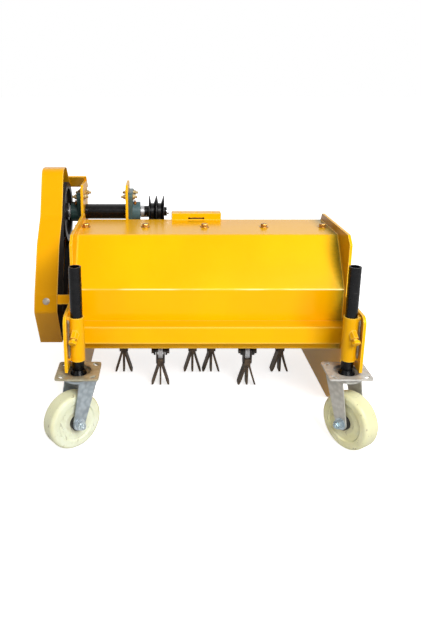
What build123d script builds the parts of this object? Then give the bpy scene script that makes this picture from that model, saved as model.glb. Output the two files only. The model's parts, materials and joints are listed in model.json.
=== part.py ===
from build123d import *
from math import asin, atan2, cos, degrees, hypot, radians, sin, sqrt
import os

os.makedirs("parts", exist_ok=True)

# Deck plates and sheets, outlines as (back, up) from the castor axis and the ground
inner_width = 760
plate_thick = 8
sheet_thick = 4
front_panel = 148
flange_front = 252
flange_back = 453
flange_height = 519.5
fold_drop = 133.5
fold_round = 8
lip_height = 206
plate_front = 134
plate_rise = 22.5
plate_nose = 26
plate_top_back = 440
slope_margin = 3
skid_start = 232
skid_nose_height = 100
skid_end = 605
skid_tail_height = 45
plate_back = 640
plate_waist_height = 190
arm_front = -28
arm_low = 217
arm_high = 370
arm_round = 20
skid_round = 50
crossbar_size = 50
crossbar_wall = 3
crossbar_low = 243

# Rotor with its lines of flails
tip_gap = 6
rotor_height = 202
pivot_radius = 89
line_angle = 31
rotor_tube_radius = 48
rotor_end_gap = 8
rotor_shaft_radius = 15
flail_length = 113
flail_gap = 4
flail_mid_share = 0.3632
flail_outer_share = 0.6842
flail_back_inner_share = 0.221
flail_back_mid_share = 0.5237
flail_back_outer_share = 0.8421
lug_thick = 6
lug_end_radius = 15
lug_space = 31
flail_pin_radius = 6
pin_head = 7
link_thick = 5
link_end_radius = 11
link_length = 34
blade_thick = 6
blade_width = 38
blade_spread = 20
blade_tip_width = 30
rest_gap = 1.5
lug_root_share = 0.4
lug_root_radius = 20
pin_head_radius = 10
link_bolt_radius = 5
blade_taper = 14
blade_reach = 45
eye_clearance = 0.3

# Running gaps and seats
bore_clearance = 0.05
seat_gap = 0.3
clear_gap = 1.5
overrun = 2

# Jackshaft on its two upright plates
jack_behind = 77
jack_rise = 10
jack_tube_radius = 25
bearing_plate_thick = 8
bearing_plate_ahead = 60
bearing_plate_behind = 66
bearing_plate_rise = 106.5
bearing_plate_lap = 40
bearing_plate_corner = 14
bearing_plate_tail = 60
bearing_plate_pitch = 145
shaft_hole_radius = 22
housing_depth = 14
housing_boss_depth = 38
housing_boss_radius = 33
housing_ear_radius = 14
housing_ear_out = 40
housing_ear_rise = 57
housing_ear_drop = 50
collar_radius = 20
collar_width = 12
hub_radius = 19
hub_width = 15
drive_pulley_radius = 52
drive_groove_radius = 28
drive_pulley_pitch = 24
drive_ridge = 3
drive_groove_floor = 9
shaft_tail = 10

# Belt drive and its guard
belt_width = 16
belt_thick = 11
belt_pitch = 20
belt_gap = 0.5
upper_pulley_radius = 98
lower_pulley_radius = 38
pulley_rim = 3
pulley_rim_depth = 9
pulley_hub_radius = 28
pulley_recess = 13
belt_outset = 85
guard_outset = 51
guard_width = 69
guard_thick = 2.5
guard_low_drop = 46
guard_low_ahead = 52.9
guard_low_behind = 83.1
guard_nose_ahead = 122.9
guard_nose_rise = 82
guard_brow_ahead = 106.9
guard_brow_rise = 130
guard_knee_ahead = 205
guard_knee_drop = 59.5
guard_neck_ahead = 130
guard_neck_rise = 12.5
guard_top_ahead = 64
guard_top_rise = 150.5
guard_back_run = 120
guard_heel_drop = 29.5
guard_fold_round = 15
guard_top_round = 35
guard_crest_round = 30
guard_back_round = 45
strap_height = 26
strap_thick = 5
bracket_start = 42
bracket_end = 82
bracket_grip = 20

# Hitch bracket
hitch_gap = 17.5
hitch_width = 158
hitch_ahead = 8
hitch_length = 92
hitch_top_length = 37
hitch_cheek_slope = 14
hitch_rise = 21.5
hitch_plate = 6
hitch_hole_radius = 5.5
hitch_hole_pitch = 52.5
hitch_hole_inset = 12
hitch_pin_radius = 8
hitch_pin_inset = 20
hitch_pin_drop = 30
hitch_cheek_drop = 60

# Rotor bearings on the side plates
rotor_housing_radius = 46
rotor_housing_depth = 12
rotor_boss_radius = 31
rotor_boss_depth = 28
rotor_shaft_tail = 8

# Castors
tube_radius = 16
tube_wall = 3.5
tube_top = 499
sleeve_wall = 3.2
sleeve_low = 243
sleeve_over = 28
sleeve_pad_thick = 4.5
sleeve_pad_width = 16
clamp_height = 336
clamp_angle = 12
clamp_slope = 40
clamp_nut_radius = 11
clamp_nut_length = 12
clamp_bolt_radius = 6
clamp_head_radius = 11
clamp_head_length = 9
plate_width = 114
plate_depth = 104
castor_plate_top = 211
castor_plate_thick = 5
castor_plate_round = 9
slot_width = 11
slot_length = 19
slot_inset = 15
slot_turn = -45
dish_radius = 34
dish_floor = 204
dish_low = 198
dish_foot_radius = 40
flare_radius = 22
flare_height = 12
kingpin_radius = 8
kingpin_nut_radius = 14
kingpin_nut_height = 9
crown_thick = 6
crown_radius = 41
fork_thick = 4
fork_gap = 8
fork_top_width = 55
fork_top_shift = 8.5
fork_end_radius = 17.5
wheel_radius = 77
wheel_width = 50
wheel_round = 11
wheel_recess_radius = 54
wheel_recess_depth = 3.5
cap_radius = 20
cap_seat = 5
axle_radius = 6
axle_washer_radius = 16
axle_washer_thick = 2.5
axle_head_radius = 11
axle_head_length = 10
trail = 25
left_turn = 39
right_turn = -57.5

# Worked out: heights over the flange and places across the deck
half = inner_width / 2
fold_height = flange_height - fold_drop
jack_back = flange_back + jack_behind
jack_height = flange_height + jack_rise
bearing_plate_front = jack_back - bearing_plate_ahead
bearing_plate_back = jack_back + bearing_plate_behind
bearing_plate_top = flange_height + bearing_plate_rise
left_plate_x = -half - plate_thick
right_plate_x = left_plate_x + bearing_plate_pitch
right_boss_x = right_plate_x + housing_boss_depth
hub_start = right_boss_x + collar_width + clear_gap
drive_start = hub_start + hub_width
drive_width = 2 * drive_pulley_pitch
shaft_end = drive_start + drive_width + shaft_tail
belt_line_x = -half - belt_outset
belt_half = belt_pitch / 2 + belt_width / 2 + pulley_rim
guard_outer_x = belt_line_x - guard_outset
guard_top = jack_height + guard_top_rise
guard_top_back = jack_back + guard_back_run
hitch_left = shaft_end + hitch_gap
hitch_front = flange_back - hitch_ahead
hitch_top = flange_height + hitch_rise

# Worked out: castor places, wheel reach and the middle of the whole machine
sleeve_high = clamp_height + sleeve_over
sleeve_bore = tube_radius + seat_gap
sleeve_radius = sleeve_bore + sleeve_wall
castor_x = half - sleeve_pad_thick - sleeve_radius
castors = (("left", -1, left_turn), ("right", 1, right_turn))


def wheel_dir(side, turn):
    return side * cos(radians(turn)), side * sin(radians(turn))


def wheel_reach(along, across_axle):
    flat = (wheel_width / 2 - wheel_round) * across_axle
    return trail * along + flat + (wheel_radius - wheel_round) * along + wheel_round


right_run = wheel_dir(1, right_turn)
right_reach = castor_x + wheel_reach(abs(right_run[0]), abs(right_run[1]))
front_reach = wheel_reach(abs(right_run[1]), abs(right_run[0]))
mid_x = (-guard_outer_x - right_reach) / 2
castor_y = (front_reach - max(plate_back, guard_top_back)) / 2


def across(x):
    """Plane at a distance from the middle of the deck, with (back, up) as its axes."""
    return Plane(origin=(mid_x + x, castor_y, 0), x_dir=(0, 1, 0), z_dir=(1, 0, 0))


def level(z, x=0, y=0):
    """Flat plane at a height, centred beside the middle of the deck."""
    return Plane(origin=(mid_x + x, castor_y + y, z), x_dir=(1, 0, 0), z_dir=(0, 0, 1))


def spin_plane(x, y, z):
    """Plane of a shaft that lies across the deck."""
    return Plane(origin=(mid_x + x, castor_y + y, z), x_dir=(0, 1, 0), z_dir=(1, 0, 0))


def save(piece, name):
    piece.part.label = name
    export_step(piece.part, "parts/" + name + ".step")


# Rotor place: its tips pass the inside of the front panel with the tip gap
pivot_drop = pivot_radius * cos(radians(line_angle))
pivot_side = pivot_radius * sin(radians(line_angle))
tip_radius = hypot(pivot_side + blade_tip_width / 2, pivot_drop + flail_length)
rotor_back = front_panel + sheet_thick + tip_gap + tip_radius
rear_panel = rotor_back + tip_radius + tip_gap + sheet_thick

# Side plates with their arms and skids
slope_run = rear_panel - flange_back
slope_drop = flange_height - fold_height
slope_length = hypot(slope_run, slope_drop)
lip_back = slope_margin * slope_drop / slope_length
lip_up = slope_margin * slope_run / slope_length
plate_outline = [
    (skid_start, 0),
    (skid_end, 0),
    (plate_back, skid_tail_height),
    (plate_back, plate_waist_height),
    (rear_panel + slope_margin, fold_height),
    (flange_back + lip_back, flange_height + lip_up),
    (plate_top_back, flange_height + plate_rise),
    (plate_front + plate_nose, flange_height + plate_rise),
    (plate_front, flange_height),
    (plate_front, arm_high),
    (arm_front, arm_high),
    (arm_front, arm_low),
    (plate_front, arm_low),
    (plate_front, skid_nose_height),
]
for name, side in (("left", -1), ("right", 1)):
    start = -half - plate_thick if side < 0 else half
    with BuildPart() as side_plate:
        with BuildSketch(across(start)):
            with BuildLine():
                Polyline(*plate_outline, close=True)
            make_face()
            fillet(vertices().sort_by_distance((arm_front, arm_high, 0))[0], arm_round)
            fillet(vertices().sort_by_distance((skid_start, 0, 0))[0], skid_round)
            fillet(vertices().sort_by_distance((plate_front, skid_nose_height, 0))[0], skid_round)
        extrude(amount=plate_thick)
        with BuildSketch(spin_plane(start, rotor_back, rotor_height)):
            Circle(shaft_hole_radius)
        extrude(amount=plate_thick, mode=Mode.SUBTRACT)
    save(side_plate, "side_plate_" + name)

# Hood: a folded front sheet and a folded rear sheet that meet under the flange
front_fold = [
    (flange_back, flange_height),
    (flange_front, flange_height),
    (front_panel, fold_height),
    (front_panel, lip_height),
]
rear_lap = (flange_back - flange_front) / 3
rear_fold = [
    (flange_back - rear_lap, flange_height - sheet_thick),
    (flange_back, flange_height - sheet_thick),
    (rear_panel, fold_height - sheet_thick),
    (rear_panel, lip_height),
]
for name, fold, inner_side in (("front", front_fold, Side.LEFT), ("rear", rear_fold, Side.RIGHT)):
    with BuildPart() as hood:
        with BuildSketch(across(-half)):
            with BuildLine():
                FilletPolyline(*fold, radius=fold_round)
                offset(amount=sheet_thick, side=inner_side, kind=Kind.INTERSECTION)
            make_face()
        extrude(amount=inner_width)
    save(hood, "hood_" + name)

with BuildPart() as crossbar:
    with BuildSketch(across(-half)):
        with BuildLine():
            Polyline(
                (front_panel - crossbar_size, crossbar_low),
                (front_panel, crossbar_low),
                (front_panel, crossbar_low + crossbar_size),
                (front_panel - crossbar_size, crossbar_low + crossbar_size),
                close=True,
            )
        make_face()
        offset(amount=-crossbar_wall, mode=Mode.SUBTRACT)
    extrude(amount=inner_width)
save(crossbar, "crossbar")

# Hitch bracket: a short top plate on the flange, with two cheeks that reach back over the slope
hitch_back = hitch_front + hitch_length
hitch_step = hitch_front + hitch_top_length
with BuildPart() as hitch:
    with BuildSketch(across(hitch_left)):
        with BuildLine():
            Polyline(
                (hitch_front, flange_height),
                (flange_back + lip_back, flange_height),
                (hitch_back, hitch_top - hitch_cheek_drop),
                (hitch_back, hitch_top - hitch_cheek_slope),
                (hitch_step, hitch_top),
                (hitch_front, hitch_top),
                close=True,
            )
        make_face()
    extrude(amount=hitch_width)
    with BuildSketch(across(hitch_left + hitch_plate)):
        with BuildLine():
            Polyline(
                (hitch_front + hitch_plate, flange_height - hitch_length),
                (hitch_back + overrun, flange_height - hitch_length),
                (hitch_back + overrun, hitch_top + overrun),
                (hitch_step, hitch_top + overrun),
                (hitch_step, hitch_top - hitch_plate),
                (hitch_front + hitch_plate, hitch_top - hitch_plate),
                close=True,
            )
        make_face()
    extrude(amount=hitch_width - 2 * hitch_plate, mode=Mode.SUBTRACT)
    with BuildSketch(level(hitch_top, hitch_left + hitch_width / 2, hitch_front + hitch_hole_inset)):
        with GridLocations(hitch_hole_pitch, 0, 3, 1):
            Circle(hitch_hole_radius)
    extrude(amount=-hitch_plate, mode=Mode.SUBTRACT)
    with BuildSketch(spin_plane(hitch_left, hitch_back - hitch_pin_inset, hitch_top - hitch_pin_drop)):
        Circle(hitch_pin_radius)
    extrude(amount=hitch_width, mode=Mode.SUBTRACT)
save(hitch, "hitch_bracket")

# Upright bearing plates of the jackshaft: the right one stands on the rear slope of the hood,
# the left one laps on the outside of the side plate, and a chamfer takes the guard bracket
tail_back = bearing_plate_back - bearing_plate_tail
back_chamfer = bearing_plate_back + bearing_plate_top - jack_back - guard_top


def slope_seat(back, lap):
    """Height of a plate foot over the rear sheet, less its lap."""
    return flange_height - sheet_thick + seat_gap - (back - flange_back) * slope_drop / slope_run - lap


for name, right_face, lap in (("left", left_plate_x, bearing_plate_lap), ("right", right_plate_x, 0)):
    with BuildPart() as bearing_plate:
        with BuildSketch(across(right_face - bearing_plate_thick)):
            with BuildLine():
                Polyline(
                    (bearing_plate_front, slope_seat(bearing_plate_front, lap)),
                    (tail_back, slope_seat(tail_back, lap)),
                    (bearing_plate_back, slope_seat(tail_back, lap) + bearing_plate_tail),
                    (bearing_plate_back, bearing_plate_top - back_chamfer),
                    (bearing_plate_back - back_chamfer, bearing_plate_top),
                    (bearing_plate_front + bearing_plate_corner, bearing_plate_top),
                    (bearing_plate_front, bearing_plate_top - bearing_plate_corner),
                    close=True,
                )
            make_face()
        extrude(amount=bearing_plate_thick)
        with BuildSketch(spin_plane(right_face - bearing_plate_thick, jack_back, jack_height)):
            Circle(shaft_hole_radius)
        extrude(amount=bearing_plate_thick, mode=Mode.SUBTRACT)
    save(bearing_plate, "bearing_plate_" + name)


def flange_bearing(seat_x, face, bore):
    """Three-bolt cast housing that stands off a plate face towards -X or +X."""
    with BuildPart() as housing:
        with BuildSketch(spin_plane(seat_x, jack_back, jack_height)):
            Circle(housing_boss_radius)
            with Locations(
                (-housing_ear_out, housing_ear_rise),
                (housing_ear_out, housing_ear_rise),
                (0, -housing_ear_drop),
            ):
                Circle(housing_ear_radius)
            make_hull()
        extrude(amount=face * housing_depth)
        with BuildSketch(spin_plane(seat_x, jack_back, jack_height)):
            Circle(housing_boss_radius)
        extrude(amount=face * housing_boss_depth)
        with BuildSketch(spin_plane(seat_x, jack_back, jack_height)):
            Circle(bore)
        extrude(amount=face * housing_boss_depth, mode=Mode.SUBTRACT)
    return housing


shaft_bore = rotor_shaft_radius + bore_clearance
save(flange_bearing(left_plate_x - bearing_plate_thick, -1, shaft_bore), "bearing_housing_left")
save(flange_bearing(right_plate_x, 1, shaft_bore), "bearing_housing_right")

# Jackshaft: a stepped shaft with its thick middle between the two plates
left_boss_x = left_plate_x - bearing_plate_thick - housing_boss_depth
upper_hub_x = belt_line_x - belt_half
with BuildPart() as jackshaft:
    with BuildSketch(spin_plane(upper_hub_x - shaft_tail, jack_back, jack_height)):
        Circle(rotor_shaft_radius)
    extrude(amount=shaft_end - upper_hub_x + shaft_tail)
    with BuildSketch(spin_plane(left_plate_x + clear_gap, jack_back, jack_height)):
        Circle(jack_tube_radius)
    extrude(amount=right_plate_x - bearing_plate_thick - left_plate_x - 2 * clear_gap)
save(jackshaft, "jackshaft")

collar_ends = [
    (belt_line_x + belt_half + clear_gap, left_boss_x - clear_gap),
    (right_boss_x + clear_gap, hub_start),
]
with BuildPart() as collars:
    for start, end in collar_ends:
        with BuildSketch(spin_plane(start, jack_back, jack_height)):
            Circle(collar_radius)
            Circle(rotor_shaft_radius, mode=Mode.SUBTRACT)
        extrude(amount=end - start)
save(collars, "shaft_collars")

# Drive pulley: turned with two V grooves and a hub towards the bearing
groove_points = [(hub_start, rotor_shaft_radius), (hub_start, hub_radius), (drive_start, hub_radius)]
for turn in range(2):
    ridge = drive_start + turn * drive_pulley_pitch
    middle = ridge + drive_pulley_pitch / 2
    groove_points += [
        (ridge, drive_pulley_radius),
        (ridge + drive_ridge, drive_pulley_radius),
        (middle - drive_groove_floor / 2, drive_groove_radius),
        (middle + drive_groove_floor / 2, drive_groove_radius),
    ]
groove_points += [
    (drive_start + drive_width, drive_pulley_radius),
    (drive_start + drive_width + drive_ridge, drive_pulley_radius),
    (drive_start + drive_width + drive_ridge, rotor_shaft_radius),
]


def shaft_line(back, up):
    """Plane on a shaft line, with (along it, out from it) as its axes."""
    return Plane(origin=(mid_x, castor_y + back, up), x_dir=(1, 0, 0), z_dir=(0, -1, 0))


def turned(plane, points):
    """Solid turned about the shaft line of a plane, from (along, out) points."""
    with BuildPart() as piece:
        with BuildSketch(plane):
            with BuildLine():
                Polyline(*points, close=True)
            make_face()
        revolve(axis=Axis(plane.origin, plane.x_dir))
    return piece


save(turned(shaft_line(jack_back, jack_height), groove_points), "drive_pulley")


def belt_pulley(plane, radius):
    """Two-groove belt pulley."""
    left = belt_line_x - belt_half
    right = belt_line_x + belt_half
    inner = belt_pitch / 2 - belt_width / 2
    floor = radius - belt_thick - belt_gap
    return turned(plane, [
        (left, rotor_shaft_radius),
        (left, radius),
        (left + pulley_rim - belt_gap, radius),
        (left + pulley_rim - belt_gap, floor),
        (belt_line_x - inner + belt_gap, floor),
        (belt_line_x - inner + belt_gap, radius),
        (belt_line_x + inner - belt_gap, radius),
        (belt_line_x + inner - belt_gap, floor),
        (right - pulley_rim + belt_gap, floor),
        (right - pulley_rim + belt_gap, radius),
        (right, radius),
        (right, rotor_shaft_radius),
    ])


save(belt_pulley(shaft_line(rotor_back, rotor_height), lower_pulley_radius), "lower_belt_pulley")

# The upper pulley is large, so it has a web between its rim and its hub
with BuildPart() as upper_pulley:
    add(belt_pulley(shaft_line(jack_back, jack_height), upper_pulley_radius).part)
    for face in (-1, 1):
        with BuildSketch(spin_plane(belt_line_x + face * belt_half, jack_back, jack_height)):
            Circle(upper_pulley_radius - belt_thick - pulley_rim_depth)
            Circle(pulley_hub_radius, mode=Mode.SUBTRACT)
        extrude(amount=-face * pulley_recess, mode=Mode.SUBTRACT)
save(upper_pulley, "upper_belt_pulley")

# Two belts, each a closed loop that runs in one groove of both pulleys
with BuildPart() as belts:
    for share in (-1, 1):
        start = belt_line_x + share * belt_pitch / 2 - belt_width / 2
        for inset, keep in ((0, Mode.ADD), (belt_thick, Mode.SUBTRACT)):
            with BuildSketch(across(start)):
                with Locations((jack_back, jack_height)):
                    Circle(upper_pulley_radius - inset)
                with Locations((rotor_back, rotor_height)):
                    Circle(lower_pulley_radius - inset)
                make_hull()
            extrude(amount=belt_width, mode=keep)
save(belts, "drive_belts")

# Belt guard: a folded band with one closed side, open towards the deck
nose_front = rotor_back - guard_nose_ahead
nose_height = rotor_height + guard_nose_rise
brow_front = rotor_back - guard_brow_ahead
brow_height = rotor_height + guard_brow_rise
# Corners of the guard as (back, up, radius of the fold)
guard_corners = [
    (rotor_back - guard_low_ahead, rotor_height - guard_low_drop, 0),
    (nose_front, nose_height, guard_fold_round),
    (brow_front, brow_height, guard_fold_round),
    (jack_back - guard_knee_ahead, jack_height - guard_knee_drop, guard_fold_round),
    (jack_back - guard_neck_ahead, jack_height + guard_neck_rise, guard_fold_round),
    (jack_back - guard_top_ahead, guard_top, guard_top_round),
    (jack_back, guard_top, guard_crest_round),
    (guard_top_back, guard_top - guard_back_run, guard_back_round),
    (guard_top_back, jack_height - guard_heel_drop, guard_back_round),
    (rotor_back + guard_low_behind, rotor_height - guard_low_drop, 0),
]
with BuildPart() as guard:
    for inset, keep in ((0, Mode.ADD), (guard_thick, Mode.SUBTRACT)):
        with BuildSketch(across(guard_outer_x + inset)):
            with BuildLine():
                Polyline(*[(back, up) for back, up, fold in guard_corners], close=True)
            make_face()
            for back, up, fold in guard_corners:
                if fold:
                    fillet(vertices().sort_by_distance((back, up, 0))[0], fold)
            if inset:
                offset(amount=-inset, mode=Mode.REPLACE, kind=Kind.INTERSECTION)
        extrude(amount=guard_width, mode=keep)
save(guard, "belt_guard")

# Strap and bracket that carry the guard
guard_open_x = guard_outer_x + guard_width
nose_slope = (brow_front - nose_front) / (brow_height - nose_height)
strap_lean = strap_height * nose_slope
strap_front = brow_front + guard_thick * hypot(1, nose_slope) + seat_gap
with BuildPart() as guard_strap:
    with BuildSketch(across(guard_open_x - strap_height)):
        with BuildLine():
            Polyline(
                (strap_front - strap_lean, brow_height - strap_height),
                (strap_front - strap_lean + strap_thick, brow_height - strap_height),
                (strap_front + strap_thick, brow_height),
                (strap_front, brow_height),
                close=True,
            )
        make_face()
    extrude(amount=-half - plate_thick - guard_open_x + strap_height)
save(guard_strap, "guard_strap")

# The bracket lies on the guard's 45 degree slope and on the chamfer of the left bearing plate
bracket_low = seat_gap / sqrt(2)
bracket_high = (seat_gap + strap_thick) / sqrt(2)
bracket_left = guard_open_x - bracket_grip
with BuildPart() as guard_bracket:
    with BuildSketch(across(bracket_left)):
        with BuildLine():
            Polyline(
                (jack_back + bracket_start + bracket_low, guard_top - bracket_start + bracket_low),
                (jack_back + bracket_end + bracket_low, guard_top - bracket_end + bracket_low),
                (jack_back + bracket_end + bracket_high, guard_top - bracket_end + bracket_high),
                (jack_back + bracket_start + bracket_high, guard_top - bracket_start + bracket_high),
                close=True,
            )
        make_face()
    extrude(amount=left_plate_x - bracket_left)
save(guard_bracket, "guard_bracket")

# Rotor bearings bolted to the outside of the side plates
for name, side in (("left", -1), ("right", 1)):
    seat = side * (half + plate_thick)
    with BuildPart() as rotor_bearing:
        with BuildSketch(spin_plane(seat, rotor_back, rotor_height)):
            Circle(rotor_housing_radius)
        extrude(amount=side * rotor_housing_depth)
        with BuildSketch(spin_plane(seat, rotor_back, rotor_height)):
            Circle(rotor_boss_radius)
        extrude(amount=side * rotor_boss_depth)
        with BuildSketch(spin_plane(seat, rotor_back, rotor_height)):
            Circle(shaft_bore)
        extrude(amount=side * rotor_boss_depth, mode=Mode.SUBTRACT)
    save(rotor_bearing, "rotor_bearing_" + name)

# Flails by line: (angle from straight down towards the back, places across the deck)
flail_reach = blade_spread + 3 * blade_thick / 2
inner_row = flail_reach + flail_gap / 2
mid_row = half * flail_mid_share
outer_row = half * flail_outer_share
back_inner_row = half * flail_back_inner_share
back_mid_row = half * flail_back_mid_share
back_outer_row = half * flail_back_outer_share
flail_lines = [
    (-line_angle, (-mid_row, mid_row)),
    (line_angle, (-outer_row, -inner_row, inner_row, outer_row)),
    (180 - line_angle, (-back_outer_row, back_outer_row)),
    (180 + line_angle, (-back_mid_row, -back_inner_row, back_inner_row, back_mid_row)),
]
flails = []
lean_reach = rotor_tube_radius + blade_width / 2 + rest_gap
lean = degrees(asin(lean_reach / pivot_radius))
for angle, places in flail_lines:
    back = pivot_radius * sin(radians(angle))
    up = -pivot_radius * cos(radians(angle))
    hang = 0
    if up > 0:
        hang = degrees(atan2(-back, up)) + (lean if back > 0 else -lean)
    for place in places:
        flails.append((place, back, up, angle, hang))


def flail_front(place, back, up, hang):
    """Plane of a flail at its pin, with (across, down along the flail) as its axes."""
    return Plane(
        origin=(mid_x + place, castor_y + rotor_back + back, rotor_height + up),
        x_dir=(1, 0, 0),
        z_dir=(0, cos(radians(hang)), sin(radians(hang))),
    )


def flail_side(place, back, up, hang):
    """Plane of a flail at its pin, with (back, up along the flail) as its axes."""
    return Plane(
        origin=(mid_x + place, castor_y + rotor_back + back, rotor_height + up),
        x_dir=(0, cos(radians(hang)), sin(radians(hang))),
        z_dir=(1, 0, 0),
    )


# Rotor drum with its end shafts, and its lugs in pairs
lug_outer = lug_space / 2 + lug_thick
rotor_left = belt_line_x - belt_half - rotor_shaft_tail
rotor_right = half + plate_thick + rotor_boss_depth + rotor_shaft_tail
with BuildPart() as rotor:
    with BuildSketch(spin_plane(-half + rotor_end_gap, rotor_back, rotor_height)):
        Circle(rotor_tube_radius)
    extrude(amount=inner_width - 2 * rotor_end_gap)
    with BuildSketch(spin_plane(rotor_left, rotor_back, rotor_height)):
        Circle(rotor_shaft_radius)
    extrude(amount=rotor_right - rotor_left)
save(rotor, "rotor")

with BuildPart() as lugs:
    for place, back, up, angle, hang in flails:
        root_back = back * lug_root_share
        root_up = up * lug_root_share
        for left in (place - lug_outer, place + lug_space / 2):
            with BuildSketch(spin_plane(left, rotor_back, rotor_height)):
                with Locations((back, up)):
                    Circle(lug_end_radius)
                with Locations((root_back, root_up)):
                    Circle(lug_root_radius)
                make_hull()
                Circle(rotor_tube_radius, mode=Mode.SUBTRACT)
                with Locations((back, up)):
                    Circle(flail_pin_radius, mode=Mode.SUBTRACT)
            extrude(amount=lug_thick)
save(lugs, "rotor_lugs")

# Pins through the lugs, one to a flail
with BuildPart() as pins:
    for place, back, up, angle, hang in flails:
        for left, right, radius in (
            (-lug_outer - pin_head, -lug_outer, pin_head_radius),
            (-lug_outer, lug_outer, flail_pin_radius),
            (lug_outer, lug_outer + pin_head, pin_head_radius),
        ):
            with BuildSketch(spin_plane(place + left, rotor_back + back, rotor_height + up)):
                Circle(radius)
            extrude(amount=right - left)
save(pins, "flail_pins")

# Shackles: two links and a lower bolt that clamps the blades
blade_pack = 3 * blade_thick / 2
with BuildPart() as shackles:
    for place, back, up, angle, hang in flails:
        for left in (-blade_pack - link_thick, blade_pack):
            plane = flail_side(place + left, back, up, hang)
            with BuildSketch(plane):
                Circle(link_end_radius)
                with Locations((0, -link_length)):
                    Circle(link_end_radius)
                make_hull()
                Circle(flail_pin_radius + eye_clearance, mode=Mode.SUBTRACT)
            extrude(amount=link_thick)
        with BuildSketch(flail_side(place - blade_pack - link_thick, back, up, hang)):
            with Locations((0, -link_length)):
                Circle(link_bolt_radius)
        extrude(amount=2 * (blade_pack + link_thick))
save(shackles, "flail_shackles")

# Blades: a straight one between two that bend out, from shares of the flail's reach (out, down)
blade_bend_shares = [(0, 0), (0, 0.26), (0.3, 0.5), (0.64, 0.75), (1, 1)]
blade_start = link_length - link_end_radius
blade_run = flail_length - blade_start
with BuildPart() as blades:
    for place, back, up, angle, hang in flails:
        for bend in (-1, 0, 1):
            middle = [
                (bend * (blade_thick + out * blade_spread), blade_start + down * blade_run)
                for out, down in blade_bend_shares
            ]
            outline = [(out - blade_thick / 2, down) for out, down in middle]
            outline += [(out + blade_thick / 2, down) for out, down in reversed(middle)]
            with BuildPart(mode=Mode.PRIVATE) as blade:
                with BuildSketch(flail_front(place, back, up, hang)):
                    with BuildLine():
                        Polyline(*outline, close=True)
                    make_face()
                extrude(amount=blade_width / 2, both=True)
                with BuildSketch(flail_side(place - blade_reach, back, up, hang)):
                    with BuildLine():
                        Polyline(
                            (-blade_width / 2, -blade_start),
                            (blade_width / 2, -blade_start),
                            (blade_width / 2, -flail_length + blade_taper),
                            (blade_tip_width / 2, -flail_length),
                            (-blade_tip_width / 2, -flail_length),
                            (-blade_width / 2, -flail_length + blade_taper),
                            close=True,
                        )
                    make_face()
                    with Locations((0, -link_length)):
                        Circle(link_bolt_radius, mode=Mode.SUBTRACT)
                extrude(amount=2 * blade_reach, mode=Mode.INTERSECT)
            add(blade.part)
save(blades, "flail_blades")


# Castor sleeves with their pads and clamp nuts, and the clamp bolts, which slope down to the front
nut_face = sleeve_radius / cos(radians(clamp_slope)) + clamp_nut_length
bolt_tip = (sleeve_bore + clamp_bolt_radius * sin(radians(clamp_slope))) / cos(radians(clamp_slope))
clamp_flat = cos(radians(clamp_slope))
clamp_fall = sin(radians(clamp_slope))
for name, side, turn in castors:
    clamp_side = side * sin(radians(clamp_angle))
    clamp_front = cos(radians(clamp_angle))
    clamp_plane = Plane(
        origin=(mid_x + side * castor_x, castor_y, clamp_height),
        x_dir=(clamp_front, clamp_side, 0),
        z_dir=(clamp_side * clamp_flat, -clamp_front * clamp_flat, -clamp_fall),
    )
    with BuildPart() as sleeve:
        with BuildSketch(level(sleeve_low, side * castor_x)):
            Circle(sleeve_radius)
            with Locations((side * (half - castor_x) / 2, 0)):
                Rectangle(half - castor_x, sleeve_pad_width)
        extrude(amount=sleeve_high - sleeve_low)
        with BuildSketch(clamp_plane):
            RegularPolygon(clamp_nut_radius, 6)
        extrude(amount=nut_face)
        with BuildSketch(level(sleeve_low, side * castor_x)):
            Circle(sleeve_bore)
        extrude(amount=sleeve_high - sleeve_low, mode=Mode.SUBTRACT)
        with BuildSketch(clamp_plane):
            Circle(clamp_bolt_radius)
        extrude(amount=nut_face, mode=Mode.SUBTRACT)
    save(sleeve, "castor_sleeve_" + name)
    with BuildPart() as clamp_bolt:
        with BuildSketch(clamp_plane.offset(bolt_tip)):
            Circle(clamp_bolt_radius)
        extrude(amount=nut_face + seat_gap - bolt_tip)
        with BuildSketch(clamp_plane.offset(nut_face + seat_gap)):
            Circle(clamp_head_radius)
        extrude(amount=clamp_head_length)
    save(clamp_bolt, "clamp_bolt_" + name)

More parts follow.
